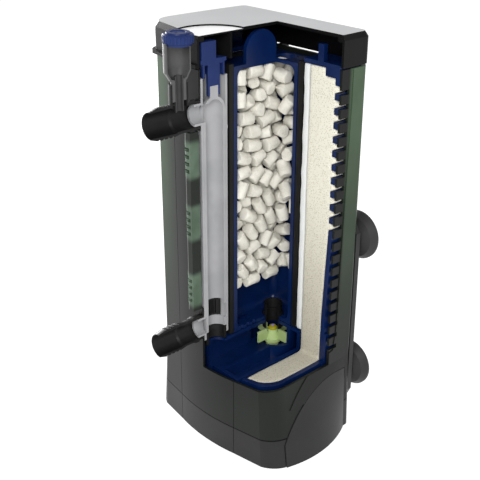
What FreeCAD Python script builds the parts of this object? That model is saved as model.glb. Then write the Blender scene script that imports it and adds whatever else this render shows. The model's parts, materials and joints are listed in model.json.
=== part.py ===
"""Internal power filter, shown as a cutaway: a parametric FreeCAD document in millimetres.

+Z is up, the outlet nozzles point along -Y, the suction cups are at the back (+Y) and X = 0 is
the mid-plane. The origin is the middle of the flat bottom. The front right quarter above
floor_z is cut away, as in a display model, so the sectioned sub-parts are half or three-quarter
pieces.
"""
import FreeCAD, Part
import Sketcher
import math
import os
import random
import re

V = FreeCAD.Vector

DRIVING = {
    # whole body
    "half_width": 60, "front_y": -46, "back_y": 46, "crease_x": 30, "front_bow": 3,
    "base_top": 23, "body_top": 283, "lid_top": 305.5, "lid_gap": 1.2, "hinge_y": 51, "hinge_z": 284.6,
    "flare": 12.4, "shell_wall": 1.8, "seam": 0.4, "groove": 0.4, "band": 0.6,
    # the cutaway quarter
    "floor_z": 63, "cut_y": 20.5,
    # vertical axes
    "riser_y": -35.8, "pump_y": 22, "venturi_y": -64.3,
    # outlet nozzles
    "top_nozzle_z": 254, "low_nozzle_z": 96.5, "bore": 7.9, "pipe": 9.6, "mouth_y": -88, "dial_r": 9.9,
    # riser
    "sleeve_out": 11.3, "sleeve_in": 9.6, "tube_out": 9.5, "tube_in": 7.5, "dome_z": 263.8,
    # media side
    "cart_half": 20.4, "cart_wall": 3.2, "cart_low": 79.7, "cart_high": 280.5,
    "side_in": 21.1, "side_out": 25.7, "fleece_in": 26.2, "foam_in": 31.4, "foam_top": 282.2,
    "frame_gap": 0.3, "frame_wall": 3.6, "frame_step": 3.2, "frame_shoulder": 277,
    "slot_pitch": 9.55, "slot_count": 21, "slot_low": 75.3, "slot_high": 3.4,
    "gap_pitch": 9.72, "gap_count": 11, "gap_low": 169.8, "gap_high": 5.4,
    # pump
    "deck_z": 44.5, "chamber_z": 57, "blade_r": 15.8, "blade_low": 61, "blade_high": 70, "magnet_r": 7, "hub_r": 6.6,
    "well_r": 7.6, "neck_r": 8,
    # bracket and suction cups
    "cup_r": 18.6, "cup_x": 46.5, "cup_high_z": 151.5, "cup_low_z": 41.5, "cup_face_y": 64,
}

document = FreeCAD.newDocument("internal_power_filter")
sheet = document.addObject("Spreadsheet::Sheet", "Sheet")
for row, (alias, size) in enumerate(DRIVING.items(), start=1):
    sheet.set("A%d" % row, str(size))
    sheet.setAlias("A%d" % row, alias)
document.recompute()

WORD = re.compile(r"[a-z_]+[a-z]")
NODES = []


def bound(text):
    """Write a size such as 'cut_y + 2' the way the sheet's expressions want it."""
    def cell(found):
        word = found.group()
        return "Sheet." + word if word in DRIVING else word
    return WORD.sub(cell, str(text))


def value(text):
    return float(sheet.evalExpression(bound(text)))


def bind(item, field, text):
    item.setExpression(field, bound(text))


def place(item, x, y, z, rotation=None):
    if rotation:
        item.Placement = FreeCAD.Placement(V(0, 0, 0), rotation)
    for axis, text in zip("xyz", (x, y, z)):
        bind(item, "Placement.Base." + axis, text)
    return item


def box(x_range, y_range, z_range):
    """A block between two planes along each axis."""
    item = document.addObject("Part::Box", "block")
    for field, (low, high) in zip(("Length", "Width", "Height"), (x_range, y_range, z_range)):
        bind(item, field, "(%s) - (%s)" % (high, low))
    return place(item, x_range[0], y_range[0], z_range[0])


TURN = {"z": None, "y": FreeCAD.Rotation(V(1, 0, 0), -90), "x": FreeCAD.Rotation(V(0, 1, 0), 90)}


def rod(radius, start, length, along="z"):
    """A cylinder from the centre of its first face."""
    item = document.addObject("Part::Cylinder", "rod")
    bind(item, "Radius", radius)
    bind(item, "Height", length)
    return place(item, *start, TURN[along])


def cone(radius_1, radius_2, start, length, along="z"):
    item = document.addObject("Part::Cone", "cone")
    bind(item, "Radius1", radius_1)
    bind(item, "Radius2", radius_2)
    bind(item, "Height", length)
    return place(item, *start, TURN[along])


def fuse(*items):
    item = document.addObject("Part::MultiFuse", "join")
    item.Shapes = list(items)
    return item


def common(first, second):
    item = document.addObject("Part::Common", "meet")
    item.Base = first
    item.Tool = second
    return item


def cut(base, *tools):
    item = document.addObject("Part::Cut", "cut")
    item.Base = base
    item.Tool = tools[0] if len(tools) == 1 else fuse(*tools)
    return item


def made(name, shape):
    """A feature whose shape comes from Part's own functions."""
    item = document.addObject("Part::Feature", name)
    item.Shape = shape
    return item


def node(label, item):
    item.Label = label
    NODES.append(item)
    return item


def quarter():
    """The block that the cutaway removes."""
    return box(("0", "120"), ("-140", "cut_y"), ("floor_z", "400"))


def sectioned(base):
    return cut(base, quarter())


def turned(profile, x, y, z, along="z"):
    """A PartDesign revolution of (radius, height) corners about an axis through x, y, z."""
    body = document.addObject("PartDesign::Body", "turned")
    plane = [item for item in body.Origin.OriginFeatures if item.Role == "XZ_Plane"][0]
    sketch = body.newObject("Sketcher::SketchObject", "profile")
    sketch.AttachmentSupport = [(plane, "")]
    sketch.MapMode = "FlatFace"
    corners = [V(value(radius), value(height), 0) for radius, height in profile]
    count = len(corners)
    for index in range(count):
        sketch.addGeometry(Part.LineSegment(corners[index], corners[(index + 1) % count]), False)
    for index in range(count):
        sketch.addConstraint(Sketcher.Constraint("Coincident", index, 2, (index + 1) % count, 1))
    for index, (radius, height) in enumerate(profile):
        corner = corners[index]
        for kind, text, size in (("DistanceX", radius, corner.x), ("DistanceY", height, corner.y)):
            key = sketch.addConstraint(Sketcher.Constraint(kind, -1, 1, index, 1, size))
            bind(sketch, "Constraints[%d]" % key, text)
    revolution = body.newObject("PartDesign::Revolution", "revolution")
    revolution.Profile = sketch
    revolution.ReferenceAxis = (sketch, ["V_Axis"])
    revolution.Angle = 360
    return place(body, x, y, z, TURN[along])


def outline(height, flare, inset):
    """The casing's plan outline: bowed front, slanted facets, round corners, bulging sides."""
    side = value("half_width") - inset
    front = value("front_y") + inset
    back = value("back_y") - inset
    crease = value("crease_x") - 0.3 * inset
    facet = (side - 9 + 0.3 * flare, front + 4)
    corner = (side - 3.2 + 0.5 * flare, front + 9.5)
    hip = (side + 0.7 * flare, front + 20)
    bulge = (side + flare, front + 44)
    heel = (side + 0.2 * flare, back - 8)
    bow = V(0, front - value("front_bow"), height)
    edges = [Part.Arc(V(-crease, front, height), bow, V(crease, front, height)).toShape()]
    for mirror in (1, -1):
        def at(point):
            return V(mirror * point[0], point[1], height)
        half = [Part.makeLine(at((crease, front)), at(facet)),
                Part.Arc(at(facet), at(corner), at(hip)).toShape(),
                Part.Arc(at(hip), at(bulge), at(heel)).toShape(),
                Part.makeLine(at(heel), at((heel[0], back - 4))),
                Part.Arc(at((heel[0], back - 4)), at((heel[0] - 1.2, back - 1.2)),
                         at((heel[0] - 4, back))).toShape()]
        edges += half
    edges.append(Part.makeLine(V(heel[0] - 4, back, height), V(4 - heel[0], back, height)))
    return Part.Wire(Part.__sortEdges__(edges))


def prism(low, high, flare, inset):
    wire = outline(value(low), flare, inset)
    return Part.Face(wire).extrude(V(0, 0, value(high) - value(low)))


def envelope(inset=0):
    """The outer form of the foot: it flares from the body down to the base."""
    low = outline(0, value("flare"), inset)
    return Part.makeLoft([low, outline(value("floor_z"), 0.3, inset)], True, True)


def side_profile(points, arcs, x_low, x_high):
    """A closed side-view outline (y, z) drawn across X; arcs name the middle points of round stretches."""
    edges = []
    count = len(points)
    for index in range(count):
        start = V(x_low, *points[index])
        end = V(x_low, *points[(index + 1) % count])
        if index in arcs:
            edges.append(Part.Arc(start, V(x_low, *arcs[index]), end).toShape())
        else:
            edges.append(Part.makeLine(start, end))
    return Part.Face(Part.Wire(edges)).extrude(V(x_high - x_low, 0, 0))


def both_sides(shape):
    return shape.fuse(shape.mirror(V(0, 0, 0), V(1, 0, 0)))


def side_band():
    """A thin raised band: the rear strip of each side, curving forward over the wing."""
    height = value("body_top")
    edge = [(-22, 44), (24.5, 74), (27, 90), (31, 262), (31, height), (42, height), (42, 44)]
    region = side_profile(edge, {0: (3, 66)}, value("half_width") - 6, 90)
    thick = value("band")
    skin = envelope(-thick).fuse(prism("floor_z", "body_top", 0.3, -thick))
    return made("side_band", both_sides(region.common(skin)))


def crease_grooves(low, high):
    """The fine upright joint lines where the bowed front meets the facets."""
    depth = ("front_y - 1", "front_y + groove")
    return [box((start, start + " + groove"), depth, (low, high))
            for start in ("-crease_x", "crease_x - groove")]


def wing_block(gap, inner):
    """The side wing's side-view outline, pulled in by gap, on the +X side."""
    low = -1
    points = [(-29 + gap, low), (-29 + gap, 18), (26, 54.5 - gap), (39 - gap, 53.4 - gap), (39 - gap, low)]
    return side_profile(points, {1: (-10 + 0.7 * gap, 42.5 - 0.7 * gap)}, inner, 90)


def wing_recesses():
    return made("wing_recesses", both_sides(wing_block(0, value("half_width") - 0.1)))


def slot_levels(x_range, y_range, start, count):
    """Level slots, one block each, that reach across both sides."""
    blocks = []
    for index in range(count):
        low = "%s + %d * slot_pitch" % (start, index)
        blocks.append(box(x_range, y_range, (low, low + " + slot_high")))
    return blocks


# ---------------------------------------------------------------- casing

def body_shell():
    foot = made("body_foot", envelope())
    lower = common(foot, box(("-90", "90"), ("-90", "90"), ("base_top + seam", "floor_z")))
    upper = made("body_wall", prism("floor_z", "body_top", 0.3, 0))
    solid = fuse(lower, upper)
    room = made("room", prism("base_top", "body_top + 1", 0.3, value("shell_wall")))
    windows = slot_levels(("-70", "70"), ("-18", "28"), "slot_low", int(value("slot_count")))
    grille_gap = box(("-12.8", "12.8"), ("front_y - 6", "front_y + 4"), ("111.7", "243.3"))
    top_port = rod("pipe + 0.4", ("0", "front_y - 8", "top_nozzle_z"), "14", "y")
    low_port = rod("pipe + 0.4", ("0", "front_y - 8", "low_nozzle_z"), "14", "y")
    riser_room = rod("sleeve_out + 0.4", ("0", "riser_y", "84"), "220")
    eyes = []
    for low in ("-36", "-24", "20", "32"):
        eyes.append(hinge_axis(low, "4", "2.3"))
        eyes.append(box((low, low + " + 4"), ("back_y - 1", "hinge_y + 1.6"), ("274", "hinge_z - 1.4")))
    pin_bore = hinge_axis("-40", "80", "1.2")
    outer = fuse(solid, side_band(), *eyes)
    hollow = cut(outer, pin_bore, room, wing_recesses(), grille_gap, top_port, low_port, riser_room,
                 *windows, *crease_grooves("base_top", "body_top + 1"))
    return node("body_shell", sectioned(hollow))


def grille_bar():
    spine = box(("-6", "6"), ("front_y - 10.9", "front_y - 5"), ("112", "243"))
    plate = box(("-12.5", "12.5"), ("front_y - 8", "front_y - 3.4"), ("112", "243"))
    round_nose = common(fuse(spine, plate), rod("13.6", ("0", "front_y + 2", "112"), "131"))
    slots = []
    for start in (119, 170, 215):
        for index in range(4):
            low = start + 5 * index
            slots.append(box(("-11", "-1.2"), ("front_y - 14", "front_y"), (str(low), str(low + 2.6))))
            slots.append(box(("1.2", "11"), ("front_y - 14", "front_y"), (str(low), str(low + 2.6))))
    return node("grille_bar", sectioned(cut(round_nose, *slots)))


def base_housing():
    foot = made("base_foot", envelope())
    slab = common(foot, box(("-90", "90"), ("-90", "90"), ("0", "base_top")))
    room = made("base_room", prism("-1", "base_top + 1", 0.3, value("shell_wall")))
    gland_hole = rod("4.2", ("0", "back_y - 10", "9"), "20", "y")
    grooves = crease_grooves("-1", "base_top + 1")
    return node("base_housing", cut(slab, room, wing_recesses(), gland_hole, *grooves))


def base_plate():
    plate = made("plate", prism("0", "2.4", 0.3, value("shell_wall") + 0.3))
    holes = [rod("1.7", (str(x), str(y), "-1"), "5") for x in (-40, 40) for y in (-26, 30)]
    heads = [rod("3.4", (str(x), str(y), "-1"), "2.2") for x in (-40, 40) for y in (-26, 30)]
    return node("base_plate", cut(plate, *holes, *heads))


def base_screws():
    """Four countersunk self-tapping screws as separate solids of one node."""
    screws = []
    for x in (-40, 40):
        for y in (-26, 30):
            head = Part.makeCylinder(3.2, 1.1, V(x, y, 0.1))
            shank = Part.makeCylinder(1.5, 9, V(x, y, 1.2))
            drive = Part.makeBox(4, 0.8, 0.7, V(x - 2, y - 0.4, 0))
            screws.append(head.fuse(shank).cut(drive).removeSplitter())
    return node("base_screws", made("screws", Part.makeCompound(screws)))


def foot_wing(label, mirror):
    wing = envelope(-value("band")).common(wing_block(value("seam"), value("half_width") + 0.3))
    if mirror:
        wing = wing.mirror(V(0, 0, 0), V(1, 0, 0))
    return node(label, made(label + "_shape", wing))


def lid():
    base = value("body_top + lid_gap")
    shoulder = value("lid_top - 3.6")
    wall = Part.Face(outline(base, 0.3, -0.4)).extrude(V(0, 0, shoulder - base))
    bevel = Part.makeLoft([outline(shoulder, 0.3, -0.4), outline(value("lid_top"), 1.2, 1.5)], True, True)
    outer = made("lid_outer", wall.fuse(bevel))
    rim = made("lid_rim", prism("body_top + lid_gap", "body_top + lid_gap + 2.2", 0.3, -2.2))
    rim = common(rim, box(("-90", "90"), ("-90", "0"), ("200", "400")))
    room = made("lid_room", prism("body_top", "lid_top - 5", 0.3, 1.4))
    web = common(made("web_reach", prism("body_top + 3.4", "lid_top - 2", 0.3, 1)),
                 box(("-90", "90"), ("-21.6", "-20"), ("200", "400")))
    crown = made("lid_crown_room", prism("lid_top - 6", "lid_top - 2.2", 0.3, 5.2))
    dish = rod("25.5", ("0", "riser_y", "lid_top - 1.1"), "10")
    knuckles = []
    for low, high in (("-31.6", "-24.4"), ("24.4", "31.6")):
        knuckles.append(hinge_axis(low, "7.2", "2.2"))
        knuckles.append(box((low, high), ("back_y", "hinge_y"), ("hinge_z", "hinge_z + 1.8")))
    shell = cut(fuse(outer, rim), room, crown, dish)
    return node("lid", sectioned(cut(fuse(shell, web, *knuckles), hinge_axis("-40", "80", "1.26"))))


def hinge_axis(x_low, length, radius):
    """A piece of the lid hinge's axis line, behind the rear wall."""
    return rod(radius, (x_low, "hinge_y", "hinge_z"), length, "x")


def lid_hinge_pins():
    return node("lid_hinge_pins", fuse(hinge_axis("19.6", "16.8", "1.2"), hinge_axis("-36.4", "16.8", "1.2")))


# ---------------------------------------------------------------- riser and selector

def riser_sleeve():
    axis = ("0", "riser_y")
    outer = fuse(rod("sleeve_out", (*axis, "84.5"), "192.5"), rod("sleeve_out + 0.3", (*axis, "240"), "2.4"),
                 rod("7.4", ("0", "front_y - 6.7", "top_nozzle_z"), "10", "y"),
                 rod("7.4", ("0", "front_y - 6.7", "low_nozzle_z"), "10", "y"))
    ports = [rod("5.9", ("0", "front_y - 8", height), "12", "y")
             for height in ("top_nozzle_z", "low_nozzle_z")]
    return node("riser_sleeve", sectioned(cut(outer, rod("sleeve_in", (*axis, "80"), "200"), *ports)))


def diverter_tube():
    """The turning inner tube: a domed top with the top port ahead and the low port behind."""
    y = value("riser_y")
    centre = value("dome_z") - value("tube_out")
    tube = Part.makeCylinder(value("tube_out"), centre - 90, V(0, y, 90))
    dome = Part.makeSphere(value("tube_out"), V(0, y, centre))
    neck = Part.makeCylinder(3.4, 9, V(0, y, centre + 7.6))
    bore = Part.makeCylinder(value("tube_in"), centre - 89, V(0, y, 89))
    bore = bore.fuse(Part.makeSphere(value("tube_in"), V(0, y, centre)))
    solid = made("tube_solid", tube.fuse([dome, neck]).cut(bore).removeSplitter())
    top_port = rod("5.9", ("0", "riser_y - 14", "top_nozzle_z"), "14", "y")
    low_port = rod("5.9", ("0", "riser_y", "low_nozzle_z + 6"), "14", "y")
    screen_gap = box(("-14", "-1.2"), ("riser_y - 7.3", "riser_y + 7.3"), ("97.6", "111.6"))
    return node("diverter_tube", sectioned(cut(solid, top_port, low_port, screen_gap)))


def port_screen():
    """The ribbed strainer panel set into the low side window of the turning tube."""
    tube = cut(rod("tube_out - 0.2", ("0", "riser_y", "97.9"), "13.4"),
               rod("tube_in + 0.3", ("0", "riser_y", "97"), "15"))
    panel = common(tube, box(("-14", "-1.6"), ("riser_y - 7", "riser_y + 7"), ("97.9", "111.3")))
    grooves = [box(("-8.5", "-4"), (low, low + " + 0.7"), ("99", "110.2"))
               for low in ["riser_y - 4.9 + %.1f" % (1.5 * index) for index in range(7)]]
    return node("port_screen", cut(panel, *grooves))


def riser_bush():
    profile = [("7.2", "79.3"), ("tube_out", "79.3"), ("tube_out", "89.7"), ("7.6", "89.7"), ("7.2", "86")]
    return node("riser_bush", sectioned(turned(profile, "0", "riser_y", "0")))


def selector_knob():
    axis = ("0", "riser_y")
    core = rod("5", (*axis, "264.5"), "24")
    cup = cut(rod("9.2", (*axis, "277"), "9.2"), rod("7.6", (*axis, "276"), "9"))
    flange = rod("10.75", (*axis, "286"), "2.4")
    grip = common(box(("-5.5", "5.5"), ("riser_y - 11", "riser_y + 2"), ("288.2", "300")),
                  rod("10.1", (*axis, "288.2"), "12.4"))
    knob = cut(fuse(core, cup, flange, grip), rod("3.5", (*axis, "260"), "11"))
    return node("selector_knob", sectioned(knob))


# ---------------------------------------------------------------- outlets

def nozzle(label, height, chimney):
    """A short duckbill outlet pipe with grip rings, turned about its own Y axis."""
    grooves = []
    for index in range(4):
        start = 6 + 3.6 * index
        for radius, step in (("10.7", 0), ("10", 0.6), ("10", 1.2), ("10.7", 1.8)):
            grooves.append((radius, str(start + step)))
    profile = [("8.3", "0"), ("8.9", "0"), ("10.1", "4"), *grooves, ("pipe", "24"), ("pipe", "31"),
               ("10.6", "32"), ("10.6", "36"), ("pipe", "36"), ("pipe", "40.4"), ("bore", "40.4"),
               ("bore", "22"), ("8.7", "20.5")]
    solid = turned(profile, "0", "mouth_y", height, "y")
    if chimney:
        riser = rod("7", ("0", "venturi_y", height + " + 8.4"), "14.6")
        solid = cut(fuse(solid, riser), rod("5.6", ("0", "venturi_y", height + " + 1"), "30"))
    return node(label, sectioned(solid))


def venturi_cup():
    profile = [("3.4", "266"), ("5.5", "266"), ("5.5", "278.6"), ("6.6", "279.4"), ("9.7", "284.4"),
               ("9.7", "302.8"), ("8.7", "302.8"), ("8.7", "285"), ("6", "280.4"), ("3.4", "279.6")]
    return node("venturi_cup", sectioned(turned(profile, "0", "venturi_y", "0")))


def venturi_tube():
    tube = cut(rod("3.35", ("0", "venturi_y", "259"), "23"), rod("2.3", ("0", "venturi_y", "258"), "25"))
    return node("venturi_tube", sectioned(tube))


def venturi_dial():
    """The knurled air dial: a stepped cap with flutes all round and a ring groove on top."""
    y = value("venturi_y")
    profile = [("0", "301.4"), ("8.4", "301.4"), ("8.4", "303.1"), ("dial_r", "303.1"),
               ("dial_r", "307.6"), ("dial_r - 0.8", "308.4"), ("7.8", "308.4"), ("7.4", "309.4"),
               ("5.2", "309.4"), ("4.8", "308.8"), ("0", "308.8")]
    cap = turned(profile, "0", "venturi_y", "0")
    reach = value("dial_r") + 0.25
    flutes = []
    count = 26
    for index in range(count):
        angle = 2 * math.pi * index / count
        foot = V(reach * math.cos(angle), y + reach * math.sin(angle), 303)
        flutes.append(Part.makeCylinder(0.65, 5.6, foot))
    pointer = Part.makeBox(1.4, 4, 1.4, V(-0.7, y - 4.4, 308.2))
    return node("venturi_dial", cut(cap, made("flutes", Part.makeCompound(flutes)), made("pointer", pointer)))


# ---------------------------------------------------------------- media side

def front_partition():
    plate = box(("-side_out", "side_out"), ("-22.7", "-18.9"), ("80", "282.4"))
    return node("front_partition", sectioned(plate))


def mirrored_range(mirror, low, high):
    return (low, high) if mirror > 0 else ("-(%s)" % high, "-(%s)" % low)


SIDES = (("left", -1), ("right", 1))


def side_partition(side, mirror):
    plate = box(mirrored_range(mirror, "side_in", "side_out"), ("-18.6", "41.6"), ("80", "282.4"))
    windows = [box(mirrored_range(mirror, "side_in - 1", "side_out + 1"), span, levels)
               for span in (("-12", "16"), ("25", "37")) for levels in (("226", "244"), ("252", "270"))]
    return node("side_partition_" + side, sectioned(cut(plate, *windows)))


def media_cartridge():
    outer = box(("-cart_half", "cart_half"), ("-18.6", "41.6"), ("cart_low", "cart_high"))
    room = box(("cart_wall - cart_half", "cart_half - cart_wall"), ("cart_wall - 18.6", "41.6 - cart_wall"),
               ("cart_low + 2.6", "cart_high - 2.6"))
    rounded = document.addObject("Part::Fillet", "rounded_room")
    rounded.Base = room
    document.recompute()
    rounded.Edges = [(index + 1, 5, 5) for index in range(len(room.Shape.Edges))]
    windows = [box(("-30", "30"), span, levels)
               for span in (("-10", "14"), ("27", "35")) for levels in (("228", "242"), ("254", "268"))]
    neck = rod("neck_r + 0.5", ("0", "pump_y", "cart_low - 1"), "6")
    grid = [rod("1.8", (str(x), str(y), "cart_low - 1"), "6")
            for x in (-12, -6, 0, 6, 12) for y in (-10, -4, 2)]
    filling = rod("8.5", ("0", "30", "cart_high - 4"), "6")
    tab_crown = common(rod("13.9", ("-3", "6.4", "288"), "6", "x"),
                       box(("-4", "4"), ("-10", "22"), ("287", "310")))
    tab = fuse(box(("-3", "3"), ("-7.5", "20.3"), ("cart_high - 1", "288")), tab_crown)
    return node("media_cartridge", sectioned(fuse(cut(outer, rounded, neck, filling, *windows, *grid), tab)))


def side_core(inset, taper):
    """A solid that follows the casing's outline, drawn in by inset, and by taper more below the slots."""
    upper = prism("170", "body_top", 0.3, inset)
    lean = Part.makeLoft([outline(100, 0.3, inset + taper), outline(170, 0.3, inset)], True, True)
    return upper.fuse([lean, prism("48", "100", 0.3, inset + taper)])


def foam_block(side, mirror):
    inset = value("shell_wall + 2 * frame_gap + frame_wall")
    core = made("foam_reach", side_core(inset, value("frame_step")))
    pad = box(mirrored_range(mirror, "foam_in", "70"), ("-60", "60"), ("48", "foam_top"))
    shoulder = box(mirrored_range(mirror, "45.4", "70"), ("-60", "60"), ("frame_shoulder - frame_gap", "300"))
    return node("foam_pad_" + side, sectioned(cut(common(pad, core), shoulder)))


def fleece(side, mirror):
    sheet_pad = box(mirrored_range(mirror, "fleece_in", "foam_in - 0.4"), ("-18.6", "41.4"), ("80", "282.2"))
    return node("fleece_" + side, sectioned(sheet_pad))


def foam_frame(side, mirror):
    """The slotted basket round the foam, with its foot, top cap and pull fin."""
    outer_inset = value("shell_wall + frame_gap")
    inner_inset = outer_inset + value("frame_wall")
    outer = made("frame_outer", side_core(outer_inset, value("frame_step")))
    inner = made("frame_inner", side_core(inner_inset, value("frame_step")))
    reach = mirrored_range(mirror, "foam_in", "70")
    depth = ("-60", "60")
    wall = common(cut(outer, inner), box(reach, depth, ("48", "body_top")))
    casing_room = made("frame_room", prism("48", "290", 0.3, outer_inset))
    foot = box(mirrored_range(mirror, "51.1", "56.7"), ("18", "36"), ("48", "87"))
    shoulder = box(mirrored_range(mirror, "45.7", "70"), depth, ("frame_shoulder", "foam_top + frame_gap"))
    cap = box(mirrored_range(mirror, "fleece_in", "70"), ("-37.5", "41.4"), ("foam_top + frame_gap", "285.6"))
    fin = box(mirrored_range(mirror, "38.5", "43.5"), ("8", "24"), ("285", "297"))
    gaps = []
    for index in range(int(value("gap_count"))):
        low = "gap_low + %d * gap_pitch" % index
        gaps.append(box(mirrored_range(mirror, "52", "70"), ("-24", "34"), (low, low + " + gap_high")))
    basket = fuse(wall, common(fuse(foot, shoulder, cap), casing_room), fin)
    return node("foam_frame_" + side, sectioned(cut(basket, *gaps)))


def media_piece(position, direction):
    start = position - direction * PIECE["half"]
    return Part.makeCylinder(PIECE["radius"], 2 * PIECE["half"], start, direction)


def nearest_gap(first, second):
    """The smallest distance between two short axis segments, each a (middle, direction) pair."""
    reach = 3.7
    best = 1e9
    for step in (-1, -0.5, 0, 0.5, 1):
        for other, mine in ((first, second), (second, first)):
            point = mine[0] + mine[1] * (reach * step)
            along = max(-reach, min(reach, (point - other[0]).dot(other[1])))
            away = point - (other[0] + other[1] * along)
            if away.Length < best:
                best = away.Length
                push = away if mine is first else away * -1
    return best, push


PIECE = {"radius": 4.75, "half": 5.7, "count": 76, "spacing": 10.3, "low": 112.5, "high": 276.5}


def reach_along(direction, axis):
    """How far a piece reaches from its middle along one axis."""
    tilt = abs(direction.dot(axis))
    return PIECE["half"] * tilt + PIECE["radius"] * math.sqrt(max(0, 1 - tilt * tilt))


def inside_cartridge(point, direction):
    """Keep a piece in the L-shaped room that the cutaway leaves."""
    reach = [reach_along(direction, axis) + 0.2 for axis in (V(1, 0, 0), V(0, 1, 0), V(0, 0, 1))]
    half = value("cart_half") - value("cart_wall") - reach[0]
    point.x = max(-half, min(half, point.x))
    point.y = max(value("cart_wall") - 18.6 + reach[1], min(41.6 - value("cart_wall") - reach[1], point.y))
    point.z = max(PIECE["low"] + reach[2], min(PIECE["high"] - reach[2], point.z))
    edge_x = 1.5 - reach[0]
    edge_y = value("cut_y") - 1.5 + reach[1]
    if point.x > edge_x and point.y < edge_y:
        if edge_y - point.y < point.x - edge_x:
            point.y = edge_y
        else:
            point.x = edge_x
    return point


def ceramic_media():
    """Loose ceramic pieces: random places, pushed apart until they no longer overlap."""
    draw = random.Random(11)
    pieces = []
    for index in range(PIECE["count"]):
        middle = V(draw.uniform(-13, 13), draw.uniform(-10, 34),
                   120 + (PIECE["high"] - 128) * index / (PIECE["count"] - 1))
        direction = V(draw.uniform(-1, 1), draw.uniform(-1, 1), draw.uniform(-1, 1)).normalize()
        pieces.append((inside_cartridge(middle, direction), direction))
    for sweep in range(400):
        moves = [V(0, 0, 0) for pair in pieces]
        for first in range(len(pieces)):
            for second in range(first + 1, len(pieces)):
                if abs(pieces[first][0].z - pieces[second][0].z) > 18:
                    continue
                gap, push = nearest_gap(pieces[first], pieces[second])
                if gap < PIECE["spacing"] and push.Length > 0:
                    shove = push.normalize() * (0.3 * (PIECE["spacing"] - gap))
                    moves[first] += shove
                    moves[second] -= shove
        pieces = [(inside_cartridge(pair[0] + move, pair[1]), pair[1]) for pair, move in zip(pieces, moves)]
    document.recompute()
    cartridge = [item.Shape for item in NODES if item.Label == "media_cartridge"][0]
    kept = []
    for pair in pieces:
        shape = media_piece(*pair)
        near = [other for other, place_of in kept if (place_of[0] - pair[0]).Length < 15]
        if all(shape.common(other).Volume < 0.001 for other in [cartridge] + near):
            kept.append((shape, pair))
    print("ceramic pieces", len(kept))
    return node("ceramic_media", made("pieces", Part.makeCompound([shape for shape, pair in kept])))


# ---------------------------------------------------------------- pump

def pump_deck():
    """The blue pump floor: rotor well, volute chamber and the channel to the riser."""
    block = box(("-30.6", "30.6"), ("-42.8", "42.8"), ("deck_z", "79"))
    well = rod("magnet_r + 2.2", ("0", "pump_y", "9"), "deck_z - 8")
    chamber = rod("17", ("0", "pump_y", "chamber_z"), "76 - chamber_z")
    channel = box(("-10", "10"), ("-34", "pump_y"), ("chamber_z", "76"))
    elbow = rod("8", ("0", "riser_y + 0.5", "chamber_z"), "30")
    neck_hole = rod("neck_r", ("0", "pump_y", "70"), "12")
    bore = rod("well_r", ("0", "pump_y", "10.8"), "50")
    basins = [box(mirrored_range(mirror, "13", "27.6"), ("-39.5", "36"), ("54", "76"))
              for side, mirror in SIDES]
    curve = cut(rod("20", ("0", "pump_y", "50"), "26"), rod("17", ("0", "pump_y", "49"), "29"))
    curve = common(curve, box(("-27", "27"), ("-30", "42"), ("50", "76")))
    bush_seat = rod("9.9", ("0", "riser_y", "78"), "4")
    solid = fuse(cut(fuse(block, well), *basins), curve)
    return node("pump_deck", sectioned(cut(solid, chamber, channel, elbow, neck_hole, bore, bush_seat)))


def intake_neck():
    """The inlet pipe from the cartridge to the rotor, narrower where it enters the cartridge."""
    profile = [("neck_r - 0.9", "70.6"), ("neck_r", "70.6"), ("neck_r", "82.5"), ("neck_r - 0.8", "83.3"),
               ("neck_r - 0.8", "91"), ("neck_r - 1.7", "91"), ("neck_r - 1.7", "83"), ("neck_r - 0.9", "82")]
    return node("intake_neck", sectioned(turned(profile, "0", "pump_y", "0")))


def impeller():
    axis = ("0", "pump_y")
    hub = fuse(rod("5.1", (*axis, "52.6"), "9"), cone("hub_r", "3.9", (*axis, "blade_low"), "7"),
               rod("hub_r + 0.5", (*axis, "58.4"), "2.6"))
    radius = value("blade_r")
    low = value("blade_low")
    height = value("blade_high") - low
    blades = []
    for quarter_turn in range(4):
        blade = Part.makeBox(radius - 3, 1.5, height, V(3, -0.75, low))
        blade = blade.cut(Part.makeBox(3.6, 4, 6, V(3, -2, low + 5.5)))
        spin = FreeCAD.Rotation(V(0, 0, 1), 90 * quarter_turn)
        blade.Placement = FreeCAD.Placement(V(0, value("pump_y"), 0), spin).multiply(blade.Placement)
        blades.append(made("blade", blade))
    return node("impeller", cut(fuse(hub, *blades), rod("1.35", (*axis, "50"), "22")))


def impeller_cap():
    cap = fuse(rod("3.6", ("0", "pump_y", "68"), "1"), cone("3.6", "2.4", ("0", "pump_y", "69"), "1.4"))
    return node("impeller_cap", cut(cap, rod("1.35", ("0", "pump_y", "60"), "12")))


def impeller_magnet():
    magnet = cut(rod("magnet_r", ("0", "pump_y", "15.2"), "37.2"), rod("1.35", ("0", "pump_y", "14"), "40"))
    return node("impeller_magnet", magnet)


def impeller_shaft():
    return node("impeller_shaft", rod("1.25", ("0", "pump_y", "12"), "58.8"))


def lower_bush():
    bush = cut(rod("well_r - 0.1", ("0", "pump_y", "11"), "3.6"), rod("1.27", ("0", "pump_y", "10"), "6"))
    return node("lower_bush", bush)


def motor_can():
    shell = cut(box(("-27", "27"), ("-16", "41"), ("5", "43.6")),
                box(("-25", "25"), ("-14", "39"), ("3", "41.6")))
    well_hole = rod("magnet_r + 2.5", ("0", "pump_y", "30"), "20")
    cord_hole = rod("3.2", ("0", "30", "9"), "20", "y")
    return node("motor_can", cut(shell, well_hole, cord_hole))


def stator_core():
    block = box(("-20", "20"), ("-12", "34"), ("20", "36"))
    throat = box(("-9.8", "9.8"), ("-6", "36"), ("19", "37"))
    arms = cut(block, throat, rod("magnet_r + 2.6", ("0", "pump_y", "18"), "20"))
    return node("stator_core", arms)


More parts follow.
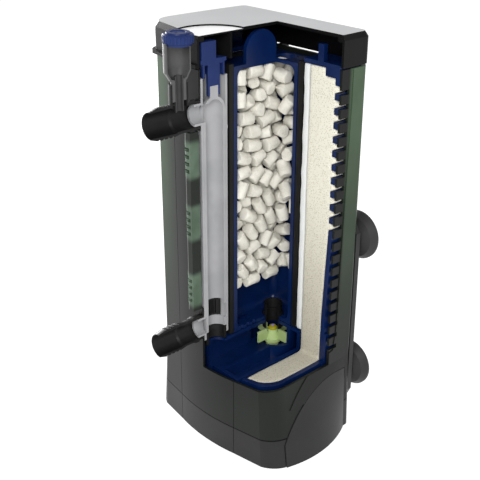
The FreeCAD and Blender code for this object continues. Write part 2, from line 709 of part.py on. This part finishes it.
def coil(side, mirror):
    winding = box(mirrored_range(mirror, "6.4", "23.4"), ("-4.6", "9"), ("16.4", "39.6"))
    core = box(mirrored_range(mirror, "9.6", "20.2"), ("-6", "10"), ("19.8", "36.2"))
    return node("coil_" + side, cut(winding, core))


def deck_seal():
    """The seal between the pump floor and the casing wall."""
    outer = box(("-30.6", "30.6"), ("-42.8", "42.8"), ("42.6", "44.2"))
    return node("deck_seal", cut(outer, box(("-28.6", "28.6"), ("-40.8", "41.6"), ("42", "45"))))


def cable_gland():
    profile = [("0", "0"), ("5.4", "0"), ("5.4", "1.6"), ("4", "1.8"), ("4", "6.6"), ("5", "6.6"),
               ("3.4", "16.4"), ("2", "16.4"), ("2", "12"), ("0", "12")]
    return node("cable_gland", turned(profile, "0", "back_y - 4.6", "9", "y"))


# ---------------------------------------------------------------- bracket

def rear_bracket():
    y = value("back_y") + 0.5
    corners = [(-52, 15), (52, 15), (58.5, 28), (58.5, 160), (50, 172), (-50, 172), (-58.5, 160), (-58.5, 28)]
    plate = Part.Face(Part.makePolygon([V(x, y, z) for x, z in corners + corners[:1]])).extrude(V(0, 4.4, 0))
    window = box(("-26", "26"), ("back_y - 2", "back_y + 8"), ("60", "135"))
    holes = [rod("3.1", (x, "back_y - 2", z), "10", "y")
             for x in ("-cup_x", "cup_x") for z in ("cup_high_z", "cup_low_z")]
    ribs = [box(mirrored_range(mirror, "28", "31"), ("back_y + 4.5", "back_y + 7.5"), ("22", "166"))
            for side, mirror in SIDES]
    notch = box(("-9", "9"), ("back_y - 2", "back_y + 8"), ("10", "29"))
    return node("rear_bracket", cut(fuse(made("bracket_plate", plate), *ribs), window, notch, *holes))


def suction_cup(label, x, z):
    """A soft cup: knob through the bracket, neck and a dished skirt whose rim is the glass plane."""
    profile = [("0", "-0.3"), ("3", "-0.3"), ("3", "4.7"), ("6.4", "4.7"), ("6.4", "7"), ("10", "8.2"),
               ("15.6", "11.2"),
               ("cup_r", "16"), ("cup_r", "17.4"), ("17.9", "17.4"), ("11", "12.4"), ("0", "10.6")]
    return node(label, turned(profile, x, "back_y + 0.6", z, "y"))


def build():
    body_shell()
    grille_bar()
    base_housing()
    base_plate()
    base_screws()
    foot_wing("foot_wing_left", True)
    foot_wing("foot_wing_right", False)
    lid()
    lid_hinge_pins()
    riser_sleeve()
    diverter_tube()
    port_screen()
    riser_bush()
    selector_knob()
    nozzle("top_nozzle", "top_nozzle_z", True)
    nozzle("bottom_nozzle", "low_nozzle_z", False)
    venturi_cup()
    venturi_tube()
    venturi_dial()
    front_partition()
    for side, mirror in SIDES:
        side_partition(side, mirror)
        foam_block(side, mirror)
        fleece(side, mirror)
        foam_frame(side, mirror)
        coil(side, mirror)
    media_cartridge()
    ceramic_media()
    pump_deck()
    intake_neck()
    impeller()
    impeller_cap()
    impeller_magnet()
    impeller_shaft()
    lower_bush()
    motor_can()
    stator_core()
    deck_seal()
    cable_gland()
    rear_bracket()
    for level in ("high", "low"):
        suction_cup("suction_cup_left_" + level, "-cup_x", "cup_%s_z" % level)
        suction_cup("suction_cup_right_" + level, "cup_x", "cup_%s_z" % level)


build()
document.recompute()
failed = [item.Label for item in document.Objects if "Invalid" in item.State or "Error" in item.State]
broken = [item.Label for item in NODES if item.Shape.isNull() or not item.Shape.isValid()]
if failed or broken:
    raise RuntimeError("failed %s, broken %s" % (failed, broken))
os.makedirs("parts", exist_ok=True)
for item in NODES:
    item.Shape.exportStep("parts/%s.step" % item.Label)
    print(item.Label, len(item.Shape.Solids), round(item.Shape.Volume))
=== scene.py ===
"""Looks for the internal power filter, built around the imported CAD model.

Units are metres, with lengths written as millimetres times MM. The ceramic pile alone is worked
out in millimetres, and its mesh is scaled at the end.
"""
import bmesh
import bpy
import json
import math
import numpy as np
from mathutils import Matrix, Vector, noise


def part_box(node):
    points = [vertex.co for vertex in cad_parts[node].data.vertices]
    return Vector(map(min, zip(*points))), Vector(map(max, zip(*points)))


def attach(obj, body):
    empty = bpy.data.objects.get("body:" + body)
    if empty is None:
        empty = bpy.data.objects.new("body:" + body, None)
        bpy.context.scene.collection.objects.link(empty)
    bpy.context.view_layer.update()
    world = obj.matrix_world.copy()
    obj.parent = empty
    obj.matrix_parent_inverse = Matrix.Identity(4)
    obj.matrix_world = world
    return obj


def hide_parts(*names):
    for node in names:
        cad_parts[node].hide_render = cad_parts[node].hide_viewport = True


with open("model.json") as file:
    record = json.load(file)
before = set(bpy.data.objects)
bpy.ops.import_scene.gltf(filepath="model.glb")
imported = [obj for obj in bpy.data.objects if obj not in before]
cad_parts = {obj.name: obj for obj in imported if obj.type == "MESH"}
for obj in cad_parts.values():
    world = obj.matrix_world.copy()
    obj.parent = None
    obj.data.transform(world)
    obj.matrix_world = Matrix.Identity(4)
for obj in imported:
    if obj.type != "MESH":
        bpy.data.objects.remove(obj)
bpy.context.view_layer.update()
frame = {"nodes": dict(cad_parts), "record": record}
MM = 0.001


def srgb(red, green, blue):
    """A screen colour of 0 to 255 as linear light."""
    def channel(level):
        level /= 255
        return level / 12.92 if level <= 0.04045 else ((level + 0.055) / 1.055) ** 2.4
    return (channel(red), channel(green), channel(blue), 1.0)


# ---------------------------------------------------------------- materials

FINE_GRAIN = 1800
ROUGHNESS_SPREAD = 0.06
BUMP_STRENGTH = 0.6
COAT_ROUGHNESS = 0.1


class Tree:
    """A material's node tree, with short calls for the nodes used here."""

    def __init__(self, name):
        self.material = bpy.data.materials.new(name)
        self.material.use_nodes = True
        self.tree = self.material.node_tree
        self.surface = self.tree.nodes["Principled BSDF"]
        coordinates = self.tree.nodes.new("ShaderNodeTexCoord")
        self.place = coordinates.outputs["Object"]
        self.facing = coordinates.outputs["Normal"]

    def feed(self, socket, value):
        if isinstance(value, bpy.types.NodeSocket):
            self.tree.links.new(value, socket)
        else:
            socket.default_value = value

    def calculate(self, operation, *values):
        item = self.tree.nodes.new("ShaderNodeMath")
        item.operation = operation
        for socket, value in zip(item.inputs, values):
            self.feed(socket, value)
        return item.outputs[0]

    def dot(self, first, second):
        item = self.tree.nodes.new("ShaderNodeVectorMath")
        item.operation = "DOT_PRODUCT"
        self.feed(item.inputs[0], first)
        self.feed(item.inputs[1], second)
        return item.outputs["Value"]

    def parts(self, vector):
        item = self.tree.nodes.new("ShaderNodeSeparateXYZ")
        self.feed(item.inputs[0], vector)
        return item.outputs

    def rise(self, value, low, high):
        """0 below low, 1 above high and smooth between; low may be above high."""
        item = self.tree.nodes.new("ShaderNodeMapRange")
        item.interpolation_type = "SMOOTHSTEP"
        self.feed(item.inputs["Value"], value)
        self.feed(item.inputs["From Min"], low)
        self.feed(item.inputs["From Max"], high)
        return item.outputs["Result"]

    def mix(self, factor, first, second):
        item = self.tree.nodes.new("ShaderNodeMix")
        item.data_type = "RGBA"
        self.feed(item.inputs["Factor"], factor)
        self.feed(item.inputs[6], first)
        self.feed(item.inputs[7], second)
        return item.outputs[2]

    def noise(self, scale, detail=3.0, rough=0.5):
        item = self.tree.nodes.new("ShaderNodeTexNoise")
        item.inputs["Scale"].default_value = scale
        item.inputs["Detail"].default_value = detail
        item.inputs["Roughness"].default_value = rough
        self.tree.links.new(self.place, item.inputs["Vector"])
        return item.outputs["Fac"]

    def pores(self, scale):
        item = self.tree.nodes.new("ShaderNodeTexVoronoi")
        item.inputs["Scale"].default_value = scale
        self.tree.links.new(self.place, item.inputs["Vector"])
        return item.outputs["Distance"]

    def varied(self, dark, light, scale=40):
        """Two close colours mixed by broad noise, as moulded plastic varies."""
        return self.mix(self.rise(self.noise(scale), 0.35, 0.65), dark, light)

    def finish(self, colour, roughness, grain=None, bump_mm=0.02, coat=0.0, metallic=0.0,
               specular=0.25, sheen=0.0):
        """Colour, roughness that varies with the grain, and the grain as bump."""
        grain = grain or self.noise(FINE_GRAIN)
        self.feed(self.surface.inputs["Base Color"], colour)
        rough = self.tree.nodes.new("ShaderNodeMapRange")
        rough.inputs["To Min"].default_value = roughness - ROUGHNESS_SPREAD
        rough.inputs["To Max"].default_value = roughness + ROUGHNESS_SPREAD
        self.feed(rough.inputs["Value"], grain)
        self.feed(self.surface.inputs["Roughness"], rough.outputs["Result"])
        bump = self.tree.nodes.new("ShaderNodeBump")
        bump.inputs["Distance"].default_value = bump_mm * MM
        bump.inputs["Strength"].default_value = BUMP_STRENGTH
        self.feed(bump.inputs["Height"], grain)
        self.feed(self.surface.inputs["Normal"], bump.outputs["Normal"])
        self.surface.inputs["Metallic"].default_value = metallic
        self.surface.inputs["Coat Weight"].default_value = coat
        self.surface.inputs["Coat Roughness"].default_value = COAT_ROUGHNESS
        self.surface.inputs["Specular IOR Level"].default_value = specular
        self.surface.inputs["Sheen Weight"].default_value = sheen
        return self.material


def plastic(name, dark, light, roughness, **look):
    tree = Tree(name)
    return tree.finish(tree.varied(dark, light), roughness, **look)


# Each pair below says where a mask starts and where it is full, along one axis.
JOINT_DARK = srgb(3, 3, 3)
FOOT_SEAM = (22.3 * MM, 22.7 * MM)
CASING_SEAM = (24.0 * MM, 23.5 * MM)
CORNER_ACROSS = (46 * MM, 57 * MM)
CORNER_REAR = (27 * MM, 31 * MM)
CORNER_FRONT = (-22 * MM, -32 * MM)
FLANK_ACROSS = (-27 * MM, -50 * MM)
FLANK_FORWARD = (-14 * MM, -25 * MM)
GREEN_HEIGHT = (50 * MM, 270 * MM)
# The next two pairs set the painted shade on faces turned sideways: by facing, then by height.
FACING_SIDEWAYS = (0.75, 0.97)
DARK_SIDE_HEIGHT = (0.0, 0.5)


def foot_plastic():
    """The base's dark grey, with the shadowed joint below the casing."""
    tree = Tree("base_grey")
    seam = tree.rise(tree.parts(tree.place)[2], *FOOT_SEAM)
    grey = tree.varied(srgb(29, 29, 30), srgb(34, 34, 35))
    return tree.finish(tree.mix(seam, grey, JOINT_DARK), 0.4)


def smoky_casing():
    """Smoked plastic: nearly black in front, greener at its corners and rear strips, painted lighter green
    on the left flank as painted light, and with painted shade on faces turned sideways.
    """
    tree = Tree("smoke_green")
    x, y, z = tree.parts(tree.place)
    side = tree.rise(tree.calculate("ABSOLUTE", x), *CORNER_ACROSS)
    rear = tree.rise(y, *CORNER_REAR)
    front = tree.rise(y, *CORNER_FRONT)
    height = tree.rise(z, *GREEN_HEIGHT)
    green_and_flank_light = tree.calculate("MULTIPLY", side, tree.calculate("MAXIMUM", rear, front))
    # The left flank is painted a lighter green as painted light, where light from the left falls on it.
    flank = tree.calculate("MULTIPLY", tree.rise(x, *FLANK_ACROSS), tree.rise(y, *FLANK_FORWARD))
    green_and_flank_light = tree.calculate("MULTIPLY", tree.calculate("MAXIMUM", green_and_flank_light, flank), height)
    smoke = tree.varied(srgb(20, 22, 20), srgb(26, 29, 26), 14)
    upper = tree.varied(srgb(17, 20, 17), srgb(24, 27, 24), 14)
    green = tree.varied(srgb(58, 76, 56), srgb(68, 86, 66), 20)
    # Faces turned sideways are painted darker as painted shade, from low on the body upwards.
    sideways = tree.rise(tree.calculate("ABSOLUTE", tree.parts(tree.facing)[0]), *FACING_SIDEWAYS)
    side_shade = tree.calculate("MULTIPLY", sideways, tree.rise(height, *DARK_SIDE_HEIGHT))
    body = tree.mix(side_shade, tree.mix(height, smoke, upper), srgb(12, 14, 12))
    seam = tree.rise(z, *CASING_SEAM)
    colour = tree.mix(seam, tree.mix(green_and_flank_light, body, green), JOINT_DARK)
    return tree.finish(colour, 0.34, bump_mm=0.01, specular=0.17)


LOUVRE_MIDDLES = (128 * MM, 179 * MM, 224 * MM)
LOUVRE_FADE = (15 * MM, 10 * MM)


def louvre_plastic():
    """Dark between the louvres; the three groups of slots read pale green."""
    tree = Tree("louvre_green")
    height = tree.parts(tree.place)[2]
    fins = 0.0
    for middle in LOUVRE_MIDDLES:
        away = tree.calculate("ABSOLUTE", tree.calculate("SUBTRACT", height, middle))
        fins = tree.calculate("MAXIMUM", fins, tree.rise(away, *LOUVRE_FADE))
    pale = tree.varied(srgb(66, 84, 68), srgb(82, 100, 84), 60)
    return tree.finish(tree.mix(fins, srgb(18, 24, 18), pale), 0.36)


LID_FACE = 304.2 * MM
LEVEL_ENOUGH = 0.85
DISH_FORWARD = 35.8 * MM
DISH_RADIUS = 25.45 * MM
LID_MIDDLE = (0, 0, 280 * MM)
OUTSIDE_REACH = 4 * MM
# Where the painted shade on the lid's walls starts and where it is full, along x.
LID_RIGHT_SHADE = (30 * MM, 50 * MM)


def lid_shell():
    """Light top with a round dish painted near white, a painted highlight on the pale plastic; dark sides
    with painted shade towards the right, and an inside darkened as painted shade.
    """
    tree = Tree("lid_grey")
    x, y, z = tree.parts(tree.place)
    level = tree.parts(tree.facing)[2]
    reach_y = tree.calculate("ADD", y, DISH_FORWARD)
    across = tree.calculate("MULTIPLY", x, x)
    away = tree.calculate("ADD", across, tree.calculate("MULTIPLY", reach_y, reach_y))
    # The dish is painted near white: the lid's pale plastic with a painted highlight where it catches the
    # light.
    dish = tree.calculate("LESS_THAN", away, DISH_RADIUS ** 2)
    high = tree.calculate("GREATER_THAN", z, LID_FACE)
    top = tree.calculate("MULTIPLY", high, tree.calculate("GREATER_THAN", level, LEVEL_ENOUGH))
    middle = tree.tree.nodes.new("ShaderNodeVectorMath")
    middle.operation = "SUBTRACT"
    tree.feed(middle.inputs[0], tree.place)
    middle.inputs[1].default_value = LID_MIDDLE
    # Inside and cut faces are painted darker than the outer walls, as painted shade.
    outside = tree.calculate("GREATER_THAN", tree.dot(middle.outputs[0], tree.facing), OUTSIDE_REACH)
    # The outer walls darken towards the right, as painted shade.
    walls = tree.mix(tree.rise(x, *LID_RIGHT_SHADE), srgb(19, 19, 20), srgb(13, 13, 13))
    sides = tree.mix(outside, srgb(9, 9, 10), walls)
    face = tree.varied(srgb(190, 191, 192), srgb(197, 198, 199), 10)
    pale = tree.mix(dish, face, srgb(252, 252, 252))
    return tree.finish(tree.mix(top, sides, pale), 0.42, bump_mm=0.004, specular=0.12)


def fired_ceramic():
    """Off-white sintered ceramic, pitted, a little darker in its hollows as painted shade."""
    tree = Tree("ceramic")
    pits = tree.noise(1500, 6, 0.7)
    # The pits' low parts are painted darker, as painted shade in the hollows.
    colour = tree.mix(tree.rise(pits, 0.32, 0.6), srgb(186, 183, 170), srgb(214, 211, 200))
    colour = tree.mix(tree.rise(tree.noise(90), 0.3, 0.7), colour, srgb(226, 223, 213))
    return tree.finish(colour, 0.85, grain=pits, bump_mm=0.6, specular=0.3)


FOAM_SHADE = (210 * MM, 90 * MM)


def open_foam():
    """Cream reticulated foam: fine cells with darker pores, and painted shade making it darker towards the
    bottom.
    """
    tree = Tree("filter_foam")
    cells = tree.pores(900)
    # Painted shade: the foam darkens towards the bottom.
    low = tree.rise(tree.parts(tree.place)[2], *FOAM_SHADE)
    pale = tree.mix(low, srgb(224, 221, 206), srgb(190, 185, 168))
    dim = tree.mix(low, srgb(176, 166, 138), srgb(140, 131, 108))
    colour = tree.mix(tree.rise(cells, 0.08, 0.42), dim, pale)
    return tree.finish(colour, 0.92, grain=cells, bump_mm=0.4, specular=0.15, sheen=0.2)


def matted_fleece():
    """White felted fibres."""
    tree = Tree("white_fleece")
    fibres = tree.noise(2600, 8, 0.75)
    colour = tree.mix(tree.rise(fibres, 0.3, 0.62), srgb(196, 199, 196), srgb(222, 224, 223))
    return tree.finish(colour, 0.92, grain=fibres, bump_mm=0.2, specular=0.2, sheen=0.3)


WINDING_WAVES = 9000.0


def wound_copper():
    """Copper wire, as fine rings round the coil's height."""
    tree = Tree("copper_winding")
    turns = tree.calculate("SINE", tree.calculate("MULTIPLY", tree.parts(tree.place)[2], WINDING_WAVES))
    colour = tree.mix(tree.rise(turns, -1.0, 1.0), srgb(120, 62, 30), srgb(176, 104, 60))
    return tree.finish(colour, 0.35, grain=turns, bump_mm=0.1, metallic=0.6)


MATERIALS = {
    "smoke_green": smoky_casing(),
    "dark_grey_plastic": plastic("dark_grey_plastic", srgb(29, 29, 30), srgb(34, 34, 35), 0.4),
    "lid_grey": lid_shell(),
    "black_plastic": plastic("black_plastic", srgb(17, 17, 17), srgb(24, 24, 24), 0.42, specular=0.2),
    "light_grey_plastic": plastic("light_grey_plastic", srgb(146, 147, 149), srgb(158, 158, 160),
                                  0.34, specular=0.35),
    "blue_plastic": plastic("blue_plastic", srgb(22, 38, 86), srgb(28, 46, 96), 0.42, specular=0.2),
    "navy_plastic": plastic("navy_plastic", srgb(3, 24, 66), srgb(5, 30, 76), 0.32, specular=0.35),
    "ceramic": fired_ceramic(),
    "filter_foam": open_foam(),
    "white_fleece": matted_fleece(),
    "pale_green_plastic": plastic("pale_green_plastic", srgb(172, 194, 128), srgb(188, 208, 148), 0.4),
    "yellow_plastic": plastic("yellow_plastic", srgb(158, 150, 20), srgb(176, 166, 34), 0.4),
    "ferrite": plastic("ferrite", srgb(50, 50, 54), srgb(64, 64, 68), 0.5),
    "shaft_ceramic": plastic("shaft_ceramic", srgb(176, 150, 205), srgb(190, 166, 216), 0.2, coat=0.4),
    "rubber": plastic("rubber", srgb(42, 42, 43), srgb(48, 48, 49), 0.5, bump_mm=0.03),
    "steel": plastic("steel", srgb(180, 180, 184), srgb(196, 196, 200), 0.3, metallic=1.0),
    "copper_winding": wound_copper(),
}
VENTURI_GREY = plastic("venturi_grey", srgb(44, 44, 44), srgb(52, 52, 52), 0.36)
CUP_GREY = plastic("cup_grey", srgb(66, 66, 66), srgb(74, 74, 74), 0.34, specular=0.4)
BY_NODE = {
    "grille_bar": louvre_plastic(),
    "base_housing": foot_plastic(),
    "venturi_tube": VENTURI_GREY,
    "venturi_cup": CUP_GREY,
}
SLOT_OF = {entry["node"]: entry["material_slot"] for entry in frame["record"]["subparts"]}
for node, item in frame["nodes"].items():
    item.data.materials.clear()
    item.data.materials.append(BY_NODE.get(node, MATERIALS[SLOT_OF[node]]))


# ---------------------------------------------------------------- soft and loose pieces

def show(name, mesh):
    """A new object with this mesh, in the scene."""
    item = bpy.data.objects.new(name, mesh)
    bpy.context.scene.collection.objects.link(item)
    return item


def stands_for(piece, node):
    """Give a new piece the material of its node's slot, put it on the casing body, and hide the node."""
    slot = SLOT_OF[node]
    piece.data.materials.clear()
    piece.data.materials.append(MATERIALS[slot])
    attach(piece, "casing")
    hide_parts(node)


def softened(name, node, voxel_mm, rounds):
    """A fine, evenly meshed copy of a CAD node with its edges rounded by smoothing."""
    piece = show(name, frame["nodes"][node].data.copy())
    remesh = piece.modifiers.new("even", "REMESH")
    remesh.mode = "VOXEL"
    remesh.voxel_size = voxel_mm * MM
    remesh.use_smooth_shade = True
    smooth = piece.modifiers.new("round", "SMOOTH")
    smooth.iterations = rounds
    mesh = bpy.data.meshes.new_from_object(piece.evaluated_get(bpy.context.evaluated_depsgraph_get()))
    piece.modifiers.clear()
    piece.data = mesh
    return piece


def vertices(mesh):
    """The mesh's points as an array with three columns."""
    flat = np.empty(len(mesh.vertices) * 3)
    mesh.vertices.foreach_get("co", flat)
    return flat.reshape(-1, 3)


def store(mesh, points):
    """Put moved points back into the mesh."""
    mesh.vertices.foreach_set("co", points.ravel())
    mesh.update()


def ripple(points, scale, size):
    """Push each point along a smooth noise field, by up to about size."""
    for point in points:
        point += np.array(noise.noise_vector(Vector(point) * scale)) * size


# The frame's row of gaps: its lowest edge, spacing, height of one gap, number, and front and back ends.
GAP_LOW, GAP_PITCH, GAP_HIGH, GAP_COUNT = 169.8 * MM, 9.72 * MM, 5.4 * MM, 11
GAP_FRONT, GAP_BACK = -24 * MM, 34 * MM
GAP_MARGIN = 0.3 * MM
BULGE = 3.7 * MM
BULGE_DEPTH, BULGE_FADE, BULGE_END = 4 * MM, 3 * MM, 2 * MM
FOAM_ROUNDS, FLEECE_ROUNDS = 5, 3
FOAM_RIPPLE = (60, 0.35 * MM)
FLEECE_RIPPLE = (110, 0.4 * MM)


def foam_pad(side, mirror, voxel_mm):
    """A foam pad whose outer face swells out through the frame's gaps."""
    node = "foam_pad_" + side
    piece = softened("soft_" + node, node, voxel_mm, FOAM_ROUNDS)
    points = vertices(piece.data)
    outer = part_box(node)[1][0] if mirror > 0 else -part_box(node)[0][0]
    outward = points[:, 0] * mirror
    near = np.clip((outward - outer + BULGE_DEPTH) / BULGE_FADE, 0, 1)
    from_ends = np.minimum(points[:, 1] - GAP_FRONT, GAP_BACK - points[:, 1])
    across = np.clip(from_ends / BULGE_END, 0, 1)
    for index in range(GAP_COUNT):
        middle = GAP_LOW + index * GAP_PITCH + GAP_HIGH / 2
        away = np.abs(points[:, 2] - middle) / (GAP_HIGH / 2 - GAP_MARGIN)
        swell = np.sqrt(np.clip(1 - away ** 2, 0, 1))
        points[:, 0] += mirror * BULGE * swell * near * across
    ripple(points, *FOAM_RIPPLE)
    store(piece.data, points)
    stands_for(piece, node)


def fleece(side, voxel_mm):
    """A fleece sheet with a slightly uneven face."""
    node = "fleece_" + side
    piece = softened("soft_" + node, node, voxel_mm, FLEECE_ROUNDS)
    points = vertices(piece.data)
    ripple(points, *FLEECE_RIPPLE)
    store(piece.data, points)
    stands_for(piece, node)


# The room that the ceramic pieces fill, in millimetres: the cartridge, less the quarter cut away,
# which is where x is over CUT_X and y is under CUT_Y.
ROOM = ((-17.2, 17.2), (-15.3, 38.3), (112.0, 279.0))
CUT_X, CUT_Y = 1.5, 19.0
START = ((-13, 0), (-10, 34), (118, 274))
PIECE_RADIUS, PIECE_HALF = 4.75, 5.9
BALL_PLACES = (-2.6, 0.0, 2.6)
BALL_MARGIN, PRESS_EARLY = 0.15, 0.2
PUSH_STEP, WALL_STEP, MOVE_STEP, TURN_STEP = 0.25, 0.7, 1.2, 0.09
SETTLE_SEED, SIZE_SEED = 5, 8
NO_GAP = 1e-6


def settle(count, sweeps):
    """Short rods, each three balls, pushed apart and off the walls in many small steps."""
    draw = np.random.default_rng(SETTLE_SEED)
    radius = PIECE_RADIUS + BALL_MARGIN
    reach = np.array(BALL_PLACES)
    middle = np.stack([draw.uniform(low, high, count) for low, high in START], 1)
    turn = draw.normal(size=(count, 3))
    turn /= np.linalg.norm(turn, axis=1)[:, None]
    own = np.repeat(np.arange(count), len(BALL_PLACES))
    for sweep in range(sweeps):
        balls = (middle[:, None] + turn[:, None] * reach[None, :, None]).reshape(-1, 3)
        apart = balls[:, None] - balls[None]
        gap = np.linalg.norm(apart, axis=2) + NO_GAP
        press = np.clip(2 * radius + PRESS_EARLY - gap, 0, None)
        press[own[:, None] == own[None]] = 0
        push = (apart / gap[..., None] * press[..., None]).sum(1) * PUSH_STEP
        wall = np.zeros_like(balls)
        for axis, (low, high) in enumerate(ROOM):
            wall[:, axis] += np.clip(low + radius - balls[:, axis], 0, None)
            wall[:, axis] -= np.clip(balls[:, axis] - high + radius, 0, None)
        over_x = balls[:, 0] - (CUT_X - radius)
        over_y = (CUT_Y + radius) - balls[:, 1]
        inside = (over_x > 0) & (over_y > 0)
        by_x = inside & (over_x < over_y)
        by_y = inside & ~by_x
        wall[by_x, 0] -= over_x[by_x]
        wall[by_y, 1] += over_y[by_y]
        push += wall * WALL_STEP
        push = push.reshape(count, len(BALL_PLACES), 3)
        middle += push.mean(1) * MOVE_STEP
        turn += np.einsum("i,nij->nj", reach, push) * TURN_STEP
        turn /= np.linalg.norm(turn, axis=1)[:, None]
    return middle, turn


# A worn rim from the flat end to the side, as inset and height; then the pieces' share of full size.
RIM = ((0.75, 0.0), (0.22, 0.15), (0.0, 0.6))
LENGTH_SHARE, WIDTH_SHARE = (0.84, 1.04), (0.88, 1.0)
LUMP_SCALE, LUMP_SIZE = 0.3, 0.75
CHIP_SCALE, CHIP_SIZE = 0.8, 0.4


def worn(corner):
    """Two sizes of smooth unevenness for a point of the pile."""
    lumps = noise.noise_vector(corner * LUMP_SCALE) * LUMP_SIZE
    return lumps + noise.noise_vector(corner * CHIP_SCALE) * CHIP_SIZE


def ring(mesh, place, radius, height, spokes):
    """A ring of points round a piece's own axis, at one height."""
    corners = []
    for angle in np.linspace(0, 2 * math.pi, spokes, endpoint=False):
        corner = Vector((radius * math.cos(angle), radius * math.sin(angle), height))
        corners.append(mesh.verts.new(place @ corner))
    return corners


def ceramic_pile(count=118, sweeps=700, spokes=24):
    """One mesh of short ceramic cylinders with worn rims, settled in the cartridge."""
    draw = np.random.default_rng(SIZE_SEED)
    profile = [(-1, -inset, rise) for inset, rise in RIM]
    profile.append((0, 0, 0))
    profile += [(1, -inset, -rise) for inset, rise in reversed(RIM)]
    mesh = bmesh.new()
    for middle, turn in zip(*settle(count, sweeps)):
        half = PIECE_HALF * draw.uniform(*LENGTH_SHARE)
        radius = PIECE_RADIUS * draw.uniform(*WIDTH_SHARE)
        lie = Vector(turn).to_track_quat("Z", "Y").to_matrix().to_4x4()
        place = Matrix.Translation(Vector(middle)) @ lie
        rings = [ring(mesh, place, radius + inward, end * half + along, spokes)
                 for end, inward, along in profile]
        for lower, upper in zip(rings, rings[1:]):
            for index in range(spokes):
                other = (index + 1) % spokes
                mesh.faces.new((lower[index], lower[other], upper[other], upper[index]))
        mesh.faces.new(list(reversed(rings[0])))
        mesh.faces.new(rings[-1])
    for corner in mesh.verts:
        corner.co += worn(corner.co)
        corner.co *= MM
    for face in mesh.faces:
        face.smooth = True
    data = bpy.data.meshes.new("ceramic_pile")
    mesh.to_mesh(data)
    mesh.free()
    stands_for(show("ceramic_pile", data), "ceramic_media")


ceramic_pile()
foam_pad("right", 1, 1.3)
foam_pad("left", -1, 2.2)
fleece("right", 1.0)
fleece("left", 1.3)


# ---------------------------------------------------------------- stage, light and camera

STAGE_REACH = 40
FLOOR_GREY, FLOOR_GLOW = 0.3, 0.86


def stage():
    """A wide floor, lit by its own glow so that it reads white."""
    mesh = bpy.data.meshes.new("floor")
    corners = [(x * STAGE_REACH, y * STAGE_REACH, 0) for x, y in ((-1, -1), (1, -1), (1, 1), (-1, 1))]
    mesh.from_pydata(corners, [], [(0, 1, 2, 3)])
    floor = bpy.data.objects.new("floor", mesh)
    bpy.context.scene.collection.objects.link(floor)
    material = bpy.data.materials.new("floor_white")
    material.use_nodes = True
    surface = material.node_tree.nodes["Principled BSDF"]
    surface.inputs["Base Color"].default_value = (FLOOR_GREY, FLOOR_GREY, FLOOR_GREY, 1)
    surface.inputs["Roughness"].default_value = 0.9
    surface.inputs["Specular IOR Level"].default_value = 0.0
    surface.inputs["Emission Color"].default_value = (1, 1, 1, 1)
    surface.inputs["Emission Strength"].default_value = FLOOR_GLOW
    mesh.materials.append(material)


def area_light(name, position, target, size, watts):
    """A square lamp that points at the target."""
    data = bpy.data.lights.new(name, "AREA")
    data.shape = "SQUARE"
    data.size = size
    data.energy = watts
    lamp = bpy.data.objects.new(name, data)
    bpy.context.scene.collection.objects.link(lamp)
    lamp.location = position
    lamp.rotation_euler = (Vector(target) - Vector(position)).to_track_quat("-Z", "Y").to_euler()


LIT_POINT = (0, 0, 0.16)
WORLD_GLOW = 0.6


def lights():
    """An even white world, with a key light, a strong left light and a weak right one."""
    world = bpy.data.worlds.new("studio")
    world.use_nodes = True
    world.node_tree.nodes["Background"].inputs["Color"].default_value = (1, 1, 1, 1)
    world.node_tree.nodes["Background"].inputs["Strength"].default_value = WORLD_GLOW
    bpy.context.scene.world = world
    area_light("key", (0.85, -0.95, 0.85), LIT_POINT, size=0.5, watts=13)
    area_light("left", (-1.3, 0.22, 0.4), LIT_POINT, size=0.7, watts=26)
    area_light("right", (1.2, 0.3, 0.9), LIT_POINT, size=0.8, watts=2)


CAMERA_AT = Vector((428.8, -404.6, 420.1)) * MM
VIEW_AZIMUTH, VIEW_ELEVATION, VIEW_ROLL = 45.34, 24.68, 1.06
FOCAL_MM, SENSOR_MM = 66.75, 36
SHIFT_X, SHIFT_Y = -0.066, 0.0035


def camera():
    """The camera, from its place, its direction in degrees, its roll and its lens shift."""
    azimuth = math.radians(VIEW_AZIMUTH)
    elevation = math.radians(VIEW_ELEVATION)
    roll = math.radians(VIEW_ROLL)
    level_share = math.cos(elevation)
    back = Vector((math.sin(azimuth) * level_share, -math.cos(azimuth) * level_share, math.sin(elevation)))
    level = Vector((0, 0, 1)).cross(back).normalized()
    upright = back.cross(level)
    right = level * math.cos(roll) + upright * math.sin(roll)
    up = upright * math.cos(roll) - level * math.sin(roll)
    data = bpy.data.cameras.new("camera")
    data.lens = FOCAL_MM
    data.sensor_width = SENSOR_MM
    data.shift_x = SHIFT_X
    data.shift_y = SHIFT_Y
    eye = bpy.data.objects.new("camera", data)
    bpy.context.scene.collection.objects.link(eye)
    turn = Matrix((right, up, back)).transposed().to_4x4()
    eye.matrix_world = Matrix.Translation(CAMERA_AT) @ turn
    bpy.context.scene.camera = eye


stage()
lights()
camera()
bpy.context.scene.view_settings.view_transform = "Standard"
